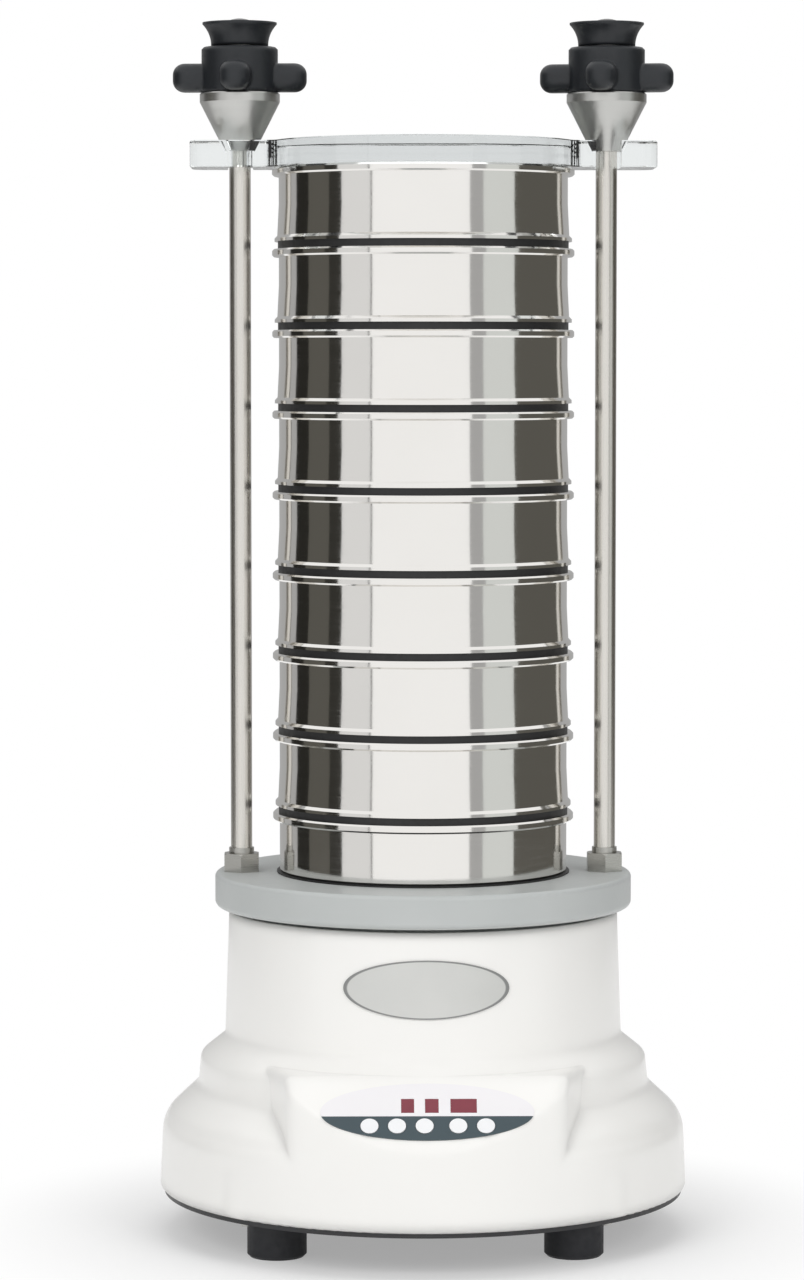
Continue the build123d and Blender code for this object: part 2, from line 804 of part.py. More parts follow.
def clamp_cone(x):
    """Steel cone that centres in the cover plate, with a spigot for the knob and a taper for the collet."""
    body = turned([
        (rod_r + rod_fit, cone_tip_z),
        (cone_tip_r, cone_tip_z),
        (cone_rim_r, cone_rim_z),
        (cone_rim_r, cone_top_z - cone_edge),
        (cone_rim_r - cone_edge, cone_top_z),
        (spigot_r, cone_top_z),
        (spigot_r, spigot_top_z),
        (spigot_inner_r, spigot_top_z),
        (spigot_inner_r, cone_tip_z + taper_start + taper_h),
        (taper_bottom_r, cone_tip_z + taper_start),
        (rod_r + rod_fit, cone_tip_z + taper_start),
    ], x)
    return body


def clamp_collet(x):
    """Split taper round the rod with a stem up to the release head and a shoulder under the knob."""
    foot_z = cone_tip_z + taper_start + taper_h / 4
    taper_top_z = cone_tip_z + taper_start + taper_h
    spread = (spigot_inner_r - taper_bottom_r) / taper_h
    foot_r = taper_bottom_r + spread * taper_h / 4 - collet_gap
    body = turned([
        (rod_r + collet_fit, foot_z),
        (foot_r, foot_z),
        (spigot_inner_r - collet_gap - spread * collet_edge, taper_top_z - collet_edge),
        (collet_stem_r, taper_top_z),
        (collet_stem_r, knob_bore_z - collet_shoulder_h),
        (collet_shoulder_r, knob_bore_z - collet_shoulder_h),
        (collet_shoulder_r, knob_bore_z),
        (collet_stem_r, knob_bore_z),
        (collet_stem_r, head_z),
        (rod_r + collet_fit, head_z),
    ], x)
    slit_top = taper_top_z - taper_h / 4
    body -= block(x - spigot_r, x + spigot_r, -collet_slit / 2, collet_slit / 2, foot_z, slit_top)
    body -= block(x - collet_slit / 2, x + collet_slit / 2, -spigot_r, spigot_r, foot_z, slit_top)
    return only(body)


def clamp_knob(x, angle):
    """Four round-ended lobes on a hub, bored for the spigot and, above it, for the collet's stem."""
    lobe = SlotOverall(2 * knob_reach, knob_lobe_w)
    cross = lobe + Rot(0, 0, 90) * lobe
    inner = cross.vertices().sort_by_distance((0, 0))[:4]
    cross = fillet(inner, knob_crotch_round)
    body = extrude(cross, amount=knob_lobe_h)
    ends = body.faces().sort_by(Axis.Z)[-1].edges() + body.faces().sort_by(Axis.Z)[0].edges()
    body = fillet(ends, knob_lobe_round)
    hub = cyl(knob_hub_r, 0, knob_lobe_h + knob_hub_h)
    hub = chamfer(hub.edges().sort_by(Axis.Z)[-1], knob_hub_edge)
    body = Pos(x, 0, knob_z) * Rot(0, 0, angle) * (body + hub)
    body -= cyl(spigot_r + knob_fit, knob_z, knob_bore_z, x)
    body -= cyl(collet_stem_r + stem_fit, knob_bore_z, knob_top_z, x)
    return only(body)


def release_head(x):
    """Flared cup on the collet's stem: two fingers pull up under its rim to free the rod."""
    rim_z = head_z + head_h
    outer = ThreePointArc(
        (head_neck_r, 0, head_z),
        (head_neck_r + head_swell, 0, head_z + head_flare),
        (head_rim_r, 0, rim_z - head_rim_t),
    )
    rest = Polyline(
        (head_rim_r, 0, rim_z - head_rim_t),
        (head_rim_r, 0, rim_z),
        (head_rim_r - 2 * head_rim_t, 0, rim_z),
        (head_cup_r, 0, head_z + head_floor_t + head_rim_t),
        (head_cup_r - head_rim_t, 0, head_z + head_floor_t),
        (rod_r + rod_fit, 0, head_z + head_floor_t),
        (rod_r + rod_fit, 0, head_z),
        (head_neck_r, 0, head_z),
    )
    return Pos(x, 0, 0) * revolve(make_face(Wire([outer.edge(), *rest.edges()])), Axis.Z)


def build():
    os.makedirs("parts", exist_ok=True)

    save("housing", housing())
    save("base_plate", base_plate())
    feet = four_corners(foot_xy)
    save("rubber_feet", *[rubber_foot(x, y) for x, y in feet])
    save("foot_screws", *[foot_screw(x, y) for x, y in feet])
    save("rim_screws", *[rim_screw(x, y) for x, y in four_corners(rim_screw_xy)])

    overlay, band = panel_sheet()
    save("panel_overlay", overlay)
    save("key_band", band)
    save("display_windows", *[on_panel(w, window_recess - overlay_t, wall) for w in windows()])
    save("display_modules", *[on_panel(w, wall, board_depth) for w in windows(module_border)])
    save("control_board", on_panel(Rectangle(board_w, board_h), board_depth, board_depth + board_t))
    save("key_switches", *[key_switch(x) for x in key_x])
    corners = [(x, y) for x in (-standoff_x, standoff_x) for y in (-standoff_y, standoff_y)]
    posts = [Pos(x, y) * Circle(standoff_d / 2) for x, y in corners]
    save("board_standoffs", *[on_panel(post, wall, board_depth) for post in posts])
    for number, x in enumerate(key_x, 1):
        save(f"key_{number}", key(x))
    save("name_plate", name_plate())

    save("mains_inlet", mains_inlet())
    save("inlet_pins", *inlet_pins())
    save("power_rocker", power_rocker())
    save("fuse_drawer", fuse_drawer())
    save("power_board", power_board())

    save("magnet_pedestal", pedestal())
    save("magnet_core", magnet_core())
    save("magnet_coil", magnet_coil())
    pillars = four_corners(pillar_xy)
    save("rubber_buffers", *[cyl(buffer_d / 2, buffer_z, boss_z, x, y) for x, y in pillars])
    save("armature", armature())
    screw_x = (-armature_screw_x, armature_screw_x)
    save("armature_screws", *[armature_screw(x) for x in screw_x])

    save("sieve_plate", sieve_plate())
    save("pan_seal", pan_seal())
    save("tie_rods", *[cyl(rod_r, plate_z + rod_seat, rod_top_z, x) for x in (-rod_x, rod_x)])
    save("rod_nuts", *[rod_nut(x) for x in (-rod_x, rod_x)])
    save("rod_caps", *[rod_cap(x) for x in (-rod_x, rod_x)])
    save("pan", pan())
    for number in range(1, sieve_count + 1):
        top_z = pan_rim_z + (sieve_count + 1 - number) * sieve_pitch
        save(f"sieve_{number}", *sieve(top_z))
        save(f"sieve_seal_{number}", sieve_seal(top_z))
    save("clamp_plate", cover_plate())

    for side, x in (("left", -rod_x), ("right", rod_x)):
        save(f"{side}_cone", clamp_cone(x))
        save(f"{side}_collet", clamp_collet(x))
        save(f"{side}_knob", clamp_knob(x, knob_turned[side]))
        save(f"{side}_release_head", release_head(x))


build()
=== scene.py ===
"""The sieve shaker in a pale studio: the finish of every part, the light and the camera.

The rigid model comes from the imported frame, in metres: +Z up, front towards -Y, origin on the
floor under the stack's axis. Every pattern is laid out in the part's own coordinates, so it
stays with its part when that moves.
"""
import json
import math

import bmesh
import bpy
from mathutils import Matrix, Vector


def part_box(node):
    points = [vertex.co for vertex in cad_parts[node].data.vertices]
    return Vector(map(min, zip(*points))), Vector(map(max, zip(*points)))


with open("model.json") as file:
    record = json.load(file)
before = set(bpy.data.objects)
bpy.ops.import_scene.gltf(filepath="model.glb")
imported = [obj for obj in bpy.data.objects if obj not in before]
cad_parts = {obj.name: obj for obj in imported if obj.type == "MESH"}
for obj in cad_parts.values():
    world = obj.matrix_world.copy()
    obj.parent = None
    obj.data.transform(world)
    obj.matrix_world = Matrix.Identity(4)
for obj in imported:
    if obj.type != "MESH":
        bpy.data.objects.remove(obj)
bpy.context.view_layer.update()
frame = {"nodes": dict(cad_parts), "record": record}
parts = frame["nodes"]

# The camera stands in front of the stack, a little above its middle and a little to its left.
CAMERA_DISTANCE = 3.05
CAMERA_HEIGHT = 0.617
CAMERA_LENS = 121.8
CAMERA_TILT = math.radians(3.74)
CAMERA_TURN = math.radians(0.28)
CAMERA_SIDE = math.radians(1.0)

# The ring of cards that polished metal mirrors, round the stack's axis.
CARD_RADIUS = 1.7
CARD_TOP = 1.5
CARD_STEP = math.radians(4)

# The floor shows its shadow up to the near radius, lifted by a share of white, and is plain
# white from the far one on.
FLOOR_RADIUS = 9
SHADOW_NEAR = 0.17
SHADOW_FAR = 0.36
SHADOW_LIFT = 0.35

STACK_CENTRE = Vector((0, 0, 0.44))
SIEVES = 8
CLOTH_RADIUS = 0.0985

# Roughness that the wire cloth has on top of its frame's.
CLOTH_DULLNESS = 0.3

# Scales of regular waves, which lie 0.314 m divided by the scale apart.
CLOTH_WAVES = 160
TURN_WAVES = 160
SHEET_WAVES = 320

# The name plate's rim line, as shares of the way from the plate's middle to its edge.
RIM_START = 0.945
RIM_FULL = 0.965

# The world as a light, where 1 is the white that is seen behind everything.
ROOM_LIGHT = 0.5

# How drawn lines are squeezed: many to the metre across them, few along them.
AROUND = (30, 30, 1400)
TURNED = (20, 20, 2600)
ALONG_Z = (1400, 1400, 12)
ALONG_X = (12, 1400, 1400)


def srgb(red, green, blue):
    """A colour as it looks on screen, 0 to 255, as the linear colour that a shader takes."""
    def linear(value):
        value /= 255
        return value / 12.92 if value <= 0.04045 else ((value + 0.055) / 1.055) ** 2.4
    return (linear(red), linear(green), linear(blue), 1)


def linear_grey(value):
    return (value, value, value, 1)


# Shader groups that several finishes share.

def effect_group(name, inputs, outputs):
    """An empty node group with its sockets, and the two nodes that carry them."""
    group = bpy.data.node_groups.new(name, "ShaderNodeTree")
    for socket, kind, default in inputs:
        made = group.interface.new_socket(name=socket, in_out="INPUT", socket_type=kind)
        if default is not None:
            made.default_value = default
    for socket, kind in outputs:
        group.interface.new_socket(name=socket, in_out="OUTPUT", socket_type=kind)
    return group, group.nodes.new("NodeGroupInput"), group.nodes.new("NodeGroupOutput")


def noise_texture(group, **values):
    noise = group.nodes.new("ShaderNodeTexNoise")
    for socket, value in values.items():
        noise.inputs[socket].default_value = value
    return noise


def mottle_group():
    """Slow drift between two shades, as moulded plastic, paint and rubber have."""
    group, given, result = effect_group(
        "Mottled shade",
        [
            ("Position", "NodeSocketVector", None),
            ("Scale", "NodeSocketFloat", 20.0),
            ("Low", "NodeSocketColor", linear_grey(0.4)),
            ("High", "NodeSocketColor", linear_grey(0.6)),
        ],
        [("Color", "NodeSocketColor")],
    )
    noise = noise_texture(group, Detail=4)
    blend = group.nodes.new("ShaderNodeMix")
    blend.data_type = "RGBA"
    link = group.links.new
    link(given.outputs["Position"], noise.inputs["Vector"])
    link(given.outputs["Scale"], noise.inputs["Scale"])
    link(noise.outputs["Fac"], blend.inputs["Factor"])
    link(given.outputs["Low"], blend.inputs["A"])
    link(given.outputs["High"], blend.inputs["B"])
    link(blend.outputs["Result"], result.inputs["Color"])
    return group


def handling_group():
    """Faint smears and fine dust that make a gloss uneven: a roughness between Clean and Worn."""
    group, given, result = effect_group(
        "Handling marks",
        [
            ("Position", "NodeSocketVector", None),
            ("Clean", "NodeSocketFloat", 0.2),
            ("Worn", "NodeSocketFloat", 0.35),
        ],
        [("Roughness", "NodeSocketFloat")],
    )
    smears = noise_texture(group, Scale=14, Detail=6)
    dust = noise_texture(group, Scale=220, Detail=2)
    both = group.nodes.new("ShaderNodeMath")
    both.operation = "MULTIPLY"
    spread = group.nodes.new("ShaderNodeMapRange")
    spread.inputs["From Min"].default_value = 0.12
    spread.inputs["From Max"].default_value = 0.40
    link = group.links.new
    link(given.outputs["Position"], smears.inputs["Vector"])
    link(given.outputs["Position"], dust.inputs["Vector"])
    link(smears.outputs["Fac"], both.inputs[0])
    link(dust.outputs["Fac"], both.inputs[1])
    link(both.outputs["Value"], spread.inputs["Value"])
    link(given.outputs["Clean"], spread.inputs["To Min"])
    link(given.outputs["Worn"], spread.inputs["To Max"])
    link(spread.outputs["Result"], result.inputs["Roughness"])
    return group


def grain_group():
    """The fine bumps of a mould or a casting, as a height."""
    group, given, result = effect_group(
        "Fine grain",
        [
            ("Position", "NodeSocketVector", None),
            ("Scale", "NodeSocketFloat", 900.0),
        ],
        [("Height", "NodeSocketFloat")],
    )
    noise = noise_texture(group, Detail=3, Roughness=0.6)
    link = group.links.new
    link(given.outputs["Position"], noise.inputs["Vector"])
    link(given.outputs["Scale"], noise.inputs["Scale"])
    link(noise.outputs["Fac"], result.inputs["Height"])
    return group


def drawn_lines_group():
    """Long scratches of drawn, ground or turned metal: noise that is squeezed along one axis."""
    group, given, result = effect_group(
        "Drawn lines",
        [
            ("Position", "NodeSocketVector", None),
            ("Squeeze", "NodeSocketVector", (1, 1, 1)),
            ("Clean", "NodeSocketFloat", 0.1),
            ("Worn", "NodeSocketFloat", 0.25),
        ],
        [("Height", "NodeSocketFloat"), ("Roughness", "NodeSocketFloat")],
    )
    squeezed = group.nodes.new("ShaderNodeVectorMath")
    squeezed.operation = "MULTIPLY"
    noise = noise_texture(group, Scale=1, Detail=4)
    spread = group.nodes.new("ShaderNodeMapRange")
    spread.inputs["From Min"].default_value = 0.3
    spread.inputs["From Max"].default_value = 0.7
    link = group.links.new
    link(given.outputs["Position"], squeezed.inputs[0])
    link(given.outputs["Squeeze"], squeezed.inputs[1])
    link(squeezed.outputs["Vector"], noise.inputs["Vector"])
    link(noise.outputs["Fac"], spread.inputs["Value"])
    link(given.outputs["Clean"], spread.inputs["To Min"])
    link(given.outputs["Worn"], spread.inputs["To Max"])
    link(noise.outputs["Fac"], result.inputs["Height"])
    link(spread.outputs["Result"], result.inputs["Roughness"])
    return group


def reach_group():
    """How far a point is from the centre, once its position is scaled and shifted.

    Left at its own values, it gives the distance from the stack's axis.
    """
    group, given, result = effect_group(
        "Reach",
        [
            ("Position", "NodeSocketVector", None),
            ("Scale", "NodeSocketVector", (1, 1, 0)),
            ("Shift", "NodeSocketVector", (0, 0, 0)),
        ],
        [("Distance", "NodeSocketFloat")],
    )
    placed = group.nodes.new("ShaderNodeVectorMath")
    placed.operation = "MULTIPLY_ADD"
    length = group.nodes.new("ShaderNodeVectorMath")
    length.operation = "LENGTH"
    link = group.links.new
    link(given.outputs["Position"], placed.inputs[0])
    link(given.outputs["Scale"], placed.inputs[1])
    link(given.outputs["Shift"], placed.inputs[2])
    link(placed.outputs["Vector"], length.inputs[0])
    link(length.outputs["Value"], result.inputs["Distance"])
    return group


mottle = mottle_group()
handling = handling_group()
grain = grain_group()
drawn_lines = drawn_lines_group()
reach = reach_group()


class Finish:
    """One material: a Principled shader with the part's own position at hand for its patterns."""

    def __init__(self, name, **plain):
        self.material = bpy.data.materials.new(name)
        self.material.use_nodes = True
        self.tree = self.material.node_tree
        self.link = self.tree.links.new
        self.shader = self.tree.nodes["Principled BSDF"]
        self.place = self.add("TexCoord").outputs["Object"]
        for socket, value in plain.items():
            self.shader.inputs[socket.replace("_", " ")].default_value = value

    def add(self, kind):
        return self.tree.nodes.new("ShaderNode" + kind)

    def effect(self, group, **values):
        """Places a shared group, with its own values, and gives its node."""
        node = self.add("Group")
        node.node_tree = group
        self.link(self.place, node.inputs["Position"])
        for socket, value in values.items():
            node.inputs[socket].default_value = value
        return node

    def feed(self, output, socket):
        self.link(output, self.shader.inputs[socket])

    def mottled(self, low, high, scale):
        return self.effect(mottle, Low=low, High=high, Scale=scale).outputs["Color"]

    def shade(self, low, high, scale=20):
        self.feed(self.mottled(low, high, scale), "Base Color")
        return self

    def gloss(self, clean, worn):
        marks = self.effect(handling, Clean=clean, Worn=worn)
        self.feed(marks.outputs["Roughness"], "Roughness")
        return self

    def bump(self, height, depth, under=None):
        """Turns a height into a bump of the given depth, on top of a softened normal if any."""
        node = self.add("Bump")
        node.inputs["Distance"].default_value = depth
        self.link(height, node.inputs["Height"])
        if under:
            self.link(under, node.inputs["Normal"])
        self.feed(node.outputs["Normal"], "Normal")
        return self

    def texture(self, scale, depth, under=None):
        return self.bump(self.effect(grain, Scale=scale).outputs["Height"], depth, under)

    def lines(self, squeeze, clean, worn, depth):
        node = self.effect(drawn_lines, Squeeze=squeeze, Clean=clean, Worn=worn)
        self.feed(node.outputs["Roughness"], "Roughness")
        return self.bump(node.outputs["Height"], depth)

    def rounded(self, radius):
        """The surface's direction with corners softened over the given radius."""
        soft = self.add("Bevel")
        soft.samples = 8
        soft.inputs["Radius"].default_value = radius
        return soft.outputs["Normal"]

    def bands(self, direction, scale):
        """Regular waves along one axis, as a value from 0 to 1."""
        wave = self.add("TexWave")
        wave.bands_direction = direction
        wave.inputs["Scale"].default_value = scale
        self.link(self.place, wave.inputs["Vector"])
        return wave.outputs["Fac"]

    def ramp(self, value, stops):
        """Colours at given values, blended in between."""
        node = self.add("ValToRGB")
        marks = node.color_ramp.elements
        for i, (position, colour) in enumerate(stops):
            mark = marks[i] if i < 2 else marks.new(position)
            mark.position = position
            mark.color = colour
        self.link(value, node.inputs["Fac"])
        return node.outputs["Color"]

    def base_blend(self, mask, colour):
        """Base colour: this one where the mask is 0, and the returned socket's where it is 1."""
        node = self.add("Mix")
        node.data_type = "RGBA"
        self.link(mask, node.inputs["Factor"])
        self.link(colour, node.inputs["A"])
        self.feed(node.outputs["Result"], "Base Color")
        return node.inputs["B"]


def metal(name, low, high, squeeze, clean, worn, depth=0.00001):
    finish = Finish(name, Metallic=1.0).shade(low, high, 9)
    return finish.lines(squeeze, clean, worn, depth).material


def plastic(name, low, high, clean, worn, grain_size=900, depth=0.00003):
    return Finish(name).shade(low, high).gloss(clean, worn).texture(grain_size, depth).material


def moulded_shell():
    """White moulding with a soft gloss; its corners catch light as rounded ones do."""
    finish = Finish("White shell", Coat_Weight=0.25, Coat_Roughness=0.12)
    finish.shade(srgb(246, 245, 242), srgb(250, 249, 246), 8).gloss(0.3, 0.4)
    finish.feed(finish.rounded(0.012), "Normal")
    return finish.material


def knob_plastic():
    """Glass filled plastic: fine grain, and lobes that run softly into the core."""
    finish = Finish("Knob").shade(srgb(24, 27, 31), srgb(34, 37, 41)).gloss(0.32, 0.46)
    return finish.texture(1000, 0.00002, finish.rounded(0.004)).material


def red_filter():
    """Dark red film over the display modules."""
    finish = Finish("Red filter", Coat_Weight=0.6, Coat_Roughness=0.08)
    return finish.shade(srgb(112, 26, 44), srgb(138, 40, 60), 60).gloss(0.12, 0.2).material


def cast_alloy():
    """Bare casting: mottled and grainy."""
    finish = Finish("Cast alloy", Metallic=1.0)
    finish.shade(srgb(160, 161, 162), srgb(184, 185, 186), 120).gloss(0.45, 0.6)
    return finish.texture(420, 0.0002).material


def satin_name_plate():
    """Bare satin plate with a darker line round its rim."""
    finish = Finish("Satin silver plate", Metallic=0.55)
    low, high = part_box("name_plate")
    middle, half = (low + high) / 2, (high - low) / 2
    across = finish.effect(
        reach,
        Scale=(1 / half.x, 0, 1 / half.z),
        Shift=(-middle.x / half.x, 0, -middle.z / half.z),
    )
    rim = finish.add("MapRange")
    rim.interpolation_type = "SMOOTHSTEP"
    rim.inputs["From Min"].default_value = RIM_START
    rim.inputs["From Max"].default_value = RIM_FULL
    finish.link(across.outputs["Distance"], rim.inputs["Value"])
    face = finish.mottled(srgb(208, 209, 206), srgb(218, 218, 215), 30)
    finish.base_blend(rim.outputs["Result"], face).default_value = srgb(142, 143, 142)
    return finish.lines(ALONG_X, 0.34, 0.46, 0.000005).material


def sieve_with_cloth():
    """Polished frame, and inside it the wire cloth: bright wires, and openings in painted shade.
    """
    finish = Finish("Sieve frame, wire cloth and painted shade", Metallic=1.0)
    inside = finish.add("Math")
    inside.operation = "LESS_THAN"
    inside.inputs[1].default_value = CLOTH_RADIUS
    finish.link(finish.effect(reach).outputs["Distance"], inside.inputs[0])
    wires = finish.add("Math")
    wires.operation = "MAXIMUM"
    finish.link(finish.bands("X", CLOTH_WAVES), wires.inputs[0])
    finish.link(finish.bands("Y", CLOTH_WAVES), wires.inputs[1])
    # The openings between the wires are painted dark: painted shade for the dim space seen
    # through them.
    wires_and_shade_stops = ((0.45, srgb(58, 58, 56)), (0.75, srgb(186, 184, 178)))
    wires_and_shade_colour = finish.ramp(wires.outputs["Value"], wires_and_shade_stops)
    frame_colour = finish.mottled(srgb(232, 230, 226), srgb(240, 238, 235), 9)
    finish.link(wires_and_shade_colour, finish.base_blend(inside.outputs["Value"], frame_colour))
    drawn = finish.effect(drawn_lines, Squeeze=AROUND, Clean=0.05, Worn=0.12)
    rough = finish.add("Math")
    rough.operation = "MULTIPLY_ADD"
    rough.inputs[1].default_value = CLOTH_DULLNESS
    finish.link(inside.outputs["Value"], rough.inputs[0])
    finish.link(drawn.outputs["Roughness"], rough.inputs[2])
    finish.feed(rough.outputs["Value"], "Roughness")
    return finish.bump(drawn.outputs["Height"], 0.000004).material


def clear_acrylic():
    """Cast acrylic: clear, greyer at the disc's sawn edge, with fine marks in its gloss."""
    finish = Finish("Clear acrylic", IOR=1.49, Transmission_Weight=1.0, Metallic=0.0)
    sawn_edge = srgb(158, 162, 164)
    # Distance from the disc's middle, in metres, and the colour there.
    stops = (
        (0.1050, srgb(226, 230, 230)),
        (0.1062, sawn_edge),
        (0.1084, sawn_edge),
        (0.1096, srgb(232, 235, 235)),
    )
    finish.feed(finish.ramp(finish.effect(reach).outputs["Distance"], stops), "Base Color")
    return finish.gloss(0.01, 0.05).material


def board_lacquer():
    """Green solder resist with its darker tracks."""
    finish = Finish("Board lacquer", Roughness=0.35)
    tracks = finish.add("TexBrick")
    tracks.inputs["Scale"].default_value = 90
    tracks.inputs["Mortar Size"].default_value = 0.03
    tracks.inputs["Color1"].default_value = srgb(22, 92, 54)
    tracks.inputs["Color2"].default_value = srgb(26, 102, 60)
    tracks.inputs["Mortar"].default_value = srgb(60, 140, 84)
    finish.link(finish.place, tracks.inputs["Vector"])
    finish.feed(tracks.outputs["Color"], "Base Color")
    return finish.material


def winding():
    """Enamelled copper turns, wound about the upright core."""
    finish = Finish("Enamelled winding", Metallic=0.7, Roughness=0.28)
    finish.shade(srgb(150, 76, 34), srgb(186, 104, 52), 60)
    return finish.bump(finish.bands("Z", TURN_WAVES), 0.0004).material


def lamination():
    """A stack of thin sheets on edge."""
    finish = Finish("Lacquered sheets", Metallic=0.8, Roughness=0.42)
    finish.shade(srgb(96, 96, 98), srgb(132, 132, 134), 80)
    return finish.bump(finish.bands("Y", SHEET_WAVES), 0.0002).material


# One finish for each of the record's material slots. A plastic has two shades, its clean and its
# worn roughness, how fine its grain is and how deep. A metal has two shades, the direction of its
# lines, its clean and its worn roughness, and how deep the lines are.
finishes = {
    "white_shell": moulded_shell(),
    "black_steel": plastic(
        "Black painted sheet", srgb(34, 34, 36), srgb(46, 46, 48), 0.35, 0.5, 500, 0.00004),
    "black_rubber": plastic(
        "Black foot rubber", srgb(24, 25, 29), srgb(34, 35, 40), 0.5, 0.68, 1100, 0.00006),
    "zinc_steel": metal(
        "Zinc plated steel", srgb(186, 186, 182), srgb(208, 207, 202), AROUND, 0.22, 0.38),
    "overlay_white": plastic(
        "White film", srgb(240, 238, 240), srgb(245, 243, 245), 0.3, 0.36, 1500, 0.000004),
    "overlay_dark": plastic(
        "Dark film", srgb(60, 74, 80), srgb(68, 82, 88), 0.32, 0.4, 1500, 0.000004),
    "display_red": red_filter(),
    "module_black": plastic("Module case", srgb(30, 30, 32), srgb(40, 40, 42), 0.4, 0.5),
    "board_green": board_lacquer(),
    "silver_plate": satin_name_plate(),
    "inlet_black": plastic("Inlet case", srgb(28, 28, 30), srgb(38, 38, 40), 0.38, 0.5),
    "pin_brass": metal(
        "Plated pins", srgb(214, 202, 160), srgb(226, 216, 178), AROUND, 0.18, 0.3),
    "cast_grey": cast_alloy(),
    "lamination_steel": lamination(),
    "coil_copper": winding(),
    "grey_plate": plastic(
        "Grey turned plastic", srgb(184, 188, 187), srgb(195, 198, 197), 0.36, 0.46, 800,
        0.000008),
    "seal_rubber": plastic(
        "Seal rubber", srgb(26, 26, 27), srgb(38, 38, 39), 0.42, 0.58, 900, 0.00004),
    "rod_steel": metal(
        "Ground rod", srgb(214, 211, 205), srgb(226, 223, 217), ALONG_Z, 0.22, 0.32, 0.000004),
    "nut_steel": metal(
        "Nut steel", srgb(176, 175, 170), srgb(194, 193, 188), AROUND, 0.24, 0.36),
    "cap_black": plastic("Cap", srgb(24, 24, 26), srgb(32, 32, 34), 0.12, 0.2),
    "sieve_steel": metal(
        "Sieve steel", srgb(232, 230, 226), srgb(240, 238, 235), AROUND, 0.05, 0.12, 0.000004),
    "clear_acrylic": clear_acrylic(),
    "rocker_black": plastic("Rocker", srgb(24, 24, 26), srgb(32, 32, 34), 0.16, 0.26),
    "cone_steel": metal(
        "Turned cone", srgb(198, 198, 195), srgb(210, 210, 207), TURNED, 0.3, 0.4, 0.0000006),
    "knob_black": knob_plastic(),
    "key_white": plastic("Key", srgb(240, 241, 243), srgb(247, 248, 249), 0.3, 0.4),
}


def dress(node, material):
    """Puts one finish on every slot of a part, and keeps its mesh as it is."""
    if not node.material_slots:
        node.data.materials.append(material)
    for place in node.material_slots:
        place.material = material


for entry in frame["record"]["subparts"]:
    dress(parts[entry["node"]], finishes[entry["material_slot"]])
frame_cloth_and_shade = sieve_with_cloth()
for number in range(1, SIEVES + 1):
    dress(parts[f"sieve_{number}"], frame_cloth_and_shade)


# The studio: a pale floor, soft lamps, and cards that only polished metal sees.

def mesh_object(name, bm, material):
    mesh = bpy.data.meshes.new(name)
    bm.to_mesh(mesh)
    bm.free()
    mesh.materials.append(material)
    made = bpy.data.objects.new(name, mesh)
    bpy.context.scene.collection.objects.link(made)
    return made


def seen_rays(tree):
    """1 for rays that show a surface: straight ones, mirrored ones and those through acrylic."""
    path = tree.nodes.new("ShaderNodeLightPath")
    seen = path.outputs["Is Camera Ray"]
    for kind in ("Is Glossy Ray", "Is Transmission Ray"):
        either = tree.nodes.new("ShaderNodeMath")
        either.operation = "MAXIMUM"
        tree.links.new(seen, either.inputs[0])
        tree.links.new(path.outputs[kind], either.inputs[1])
        seen = either.outputs["Value"]
    return seen


def white_where(tree, share, plain, white, output):
    """Sends one shader out where the share is 0 and the white one where it is 1."""
    blend = tree.nodes.new("ShaderNodeMixShader")
    tree.links.new(share, blend.inputs["Fac"])
    tree.links.new(plain, blend.inputs[1])
    tree.links.new(white, blend.inputs[2])
    tree.links.new(blend.outputs["Shader"], tree.nodes[output].inputs["Surface"])


def pale_floor():
    """A floor that takes the shadow near the machine and fades to white around it."""
    material = bpy.data.materials.new("Pale floor")
    material.use_nodes = True
    tree = material.node_tree
    nodes, link = tree.nodes, tree.links.new
    lit = nodes["Principled BSDF"]
    lit.inputs["Base Color"].default_value = srgb(246, 246, 246)
    lit.inputs["Roughness"].default_value = 0.7
    white = nodes.new("ShaderNodeEmission")
    away = nodes.new("ShaderNodeVectorMath")
    away.operation = "LENGTH"
    link(nodes.new("ShaderNodeTexCoord").outputs["Object"], away.inputs[0])
    fade = nodes.new("ShaderNodeMapRange")
    fade.interpolation_type = "SMOOTHSTEP"
    fade.inputs["From Min"].default_value = SHADOW_NEAR
    fade.inputs["From Max"].default_value = SHADOW_FAR
    fade.inputs["To Min"].default_value = SHADOW_LIFT
    link(away.outputs["Value"], fade.inputs["Value"])
    share = nodes.new("ShaderNodeMath")
    share.operation = "MULTIPLY"
    link(fade.outputs["Result"], share.inputs[0])
    link(seen_rays(tree), share.inputs[1])
    white_where(tree, share.outputs["Value"], lit.outputs["BSDF"], white.outputs["Emission"],
                "Material Output")
    bm = bmesh.new()
    bmesh.ops.create_circle(bm, cap_ends=True, segments=64, radius=FLOOR_RADIUS)
    floor = mesh_object("studio_floor", bm, material)


def glow(name, brightness, tint):
    material = bpy.data.materials.new(name)
    material.use_nodes = True
    nodes = material.node_tree.nodes
    nodes.remove(nodes["Principled BSDF"])
    light = nodes.new("ShaderNodeEmission")
    light.inputs["Color"].default_value = (*[brightness * part for part in tint], 1)
    material.node_tree.links.new(
        light.outputs["Emission"], nodes["Material Output"].inputs["Surface"])
    return material


def reflection_card(name, start, end, brightness, tint):
    """A curved card that only reflections see.

    It goes round from one angle to another, in degrees from the front, with right positive.
    """
    bm = bmesh.new()
    first, last = math.radians(start), math.radians(end)
    count = max(1, math.ceil((last - first) / CARD_STEP))
    columns = []
    for i in range(count + 1):
        turn = first + (last - first) * i / count
        x, y = CARD_RADIUS * math.sin(turn), -CARD_RADIUS * math.cos(turn)
        columns.append((bm.verts.new((x, y, 0)), bm.verts.new((x, y, CARD_TOP))))
    for left, right in zip(columns, columns[1:]):
        bm.faces.new((left[0], right[0], right[1], left[1]))
    card = mesh_object(name, bm, glow(name, brightness, tint))
    card.visible_camera = False
    card.visible_diffuse = False
    card.visible_transmission = False
    card.visible_shadow = False
    card.visible_volume_scatter = False


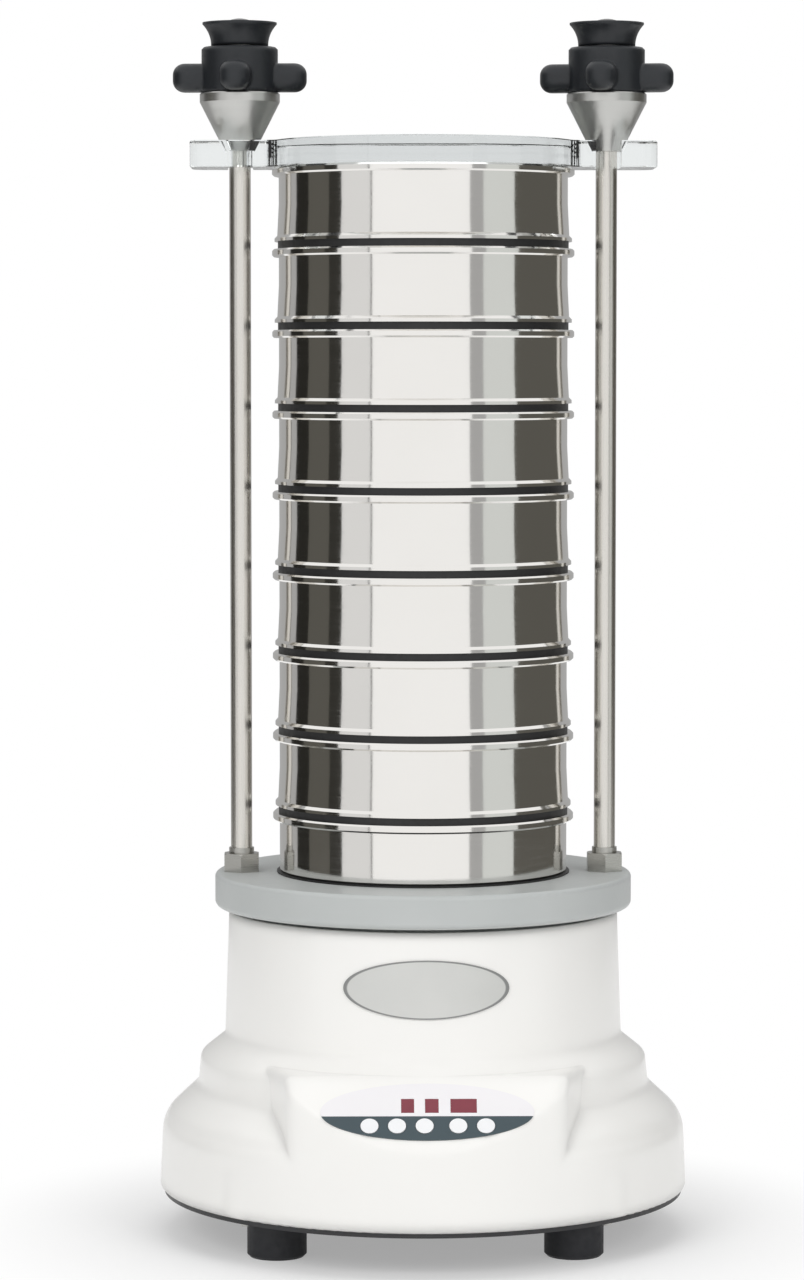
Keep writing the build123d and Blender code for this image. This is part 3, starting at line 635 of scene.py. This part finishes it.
PLAIN = (1, 1, 1)
COOL = (0.97, 1, 0.98)
WARM = (1, 0.96, 0.84)

# The room that the sieves mirror: white in front, dark at both sides, grey behind. Each card has
# its name, where it starts and ends in degrees, its brightness and its tint.
CARDS = (
    ("card_left_edge", -119, -102, 0.022, WARM),
    ("card_left_wall", -102, -79, 0.105, WARM),
    ("card_left_post", -79, -67, 0.035, WARM),
    ("card_left_pane", -67, -42, 0.78, PLAIN),
    ("card_left_line", -42, -40.6, 0.25, PLAIN),
    ("card_right_post", 35, 46, 0.42, PLAIN),
    ("card_right_pane", 46, 74, 0.72, COOL),
    ("card_right_wall", 74, 132, 0.105, WARM),
    ("card_right_back", 132, 180, 0.42, PLAIN),
    ("card_left_back", -180, -119, 0.42, PLAIN),
)

# Each lamp has its name, its place, the side of its square and its watts.
LAMPS = (
    ("front_left_softbox", (-1.5, -2.3, 2.0), 1.5, 28),
    ("front_right_softbox", (1.6, -2.2, 1.8), 1.4, 20),
    ("top_softbox", (0.0, 0.1, 2.6), 1.6, 12),
)


def square_lamp(name, place, side, watts):
    """A soft lamp that points at the stack. Reflections leave it out: they see the cards."""
    lamp = bpy.data.lights.new(name, "AREA")
    lamp.shape = "RECTANGLE"
    lamp.size = side
    lamp.size_y = side
    lamp.energy = watts
    made = bpy.data.objects.new(name, lamp)
    made.location = place
    made.rotation_euler = (STACK_CENTRE - Vector(place)).to_track_quat("-Z", "Y").to_euler()
    made.visible_glossy = False
    bpy.context.scene.collection.objects.link(made)


def studio_world():
    """White behind everything that is seen or mirrored, and a softer grey as the light itself."""
    world = bpy.data.worlds.new("Studio")
    bpy.context.scene.world = world
    world.use_nodes = True
    tree = world.node_tree
    backdrop = tree.nodes["Background"]
    backdrop.inputs["Color"].default_value = linear_grey(1)
    light = tree.nodes.new("ShaderNodeBackground")
    light.inputs["Color"].default_value = linear_grey(ROOM_LIGHT)
    white_where(tree, seen_rays(tree), light.outputs["Background"],
                backdrop.outputs["Background"], "World Output")


def studio_camera():
    camera = bpy.data.cameras.new("Front camera")
    camera.lens = CAMERA_LENS
    made = bpy.data.objects.new("Front camera", camera)
    made.location = (
        -CAMERA_DISTANCE * math.sin(CAMERA_SIDE),
        -CAMERA_DISTANCE * math.cos(CAMERA_SIDE),
        CAMERA_HEIGHT,
    )
    made.rotation_euler = (math.pi / 2 - CAMERA_TILT, 0, CAMERA_TURN - CAMERA_SIDE)
    bpy.context.scene.collection.objects.link(made)
    bpy.context.scene.camera = made


pale_floor()
for card in CARDS:
    reflection_card(*card)
studio_world()
for lamp in LAMPS:
    square_lamp(*lamp)
studio_camera()

bpy.context.scene.view_settings.view_transform = "Standard"
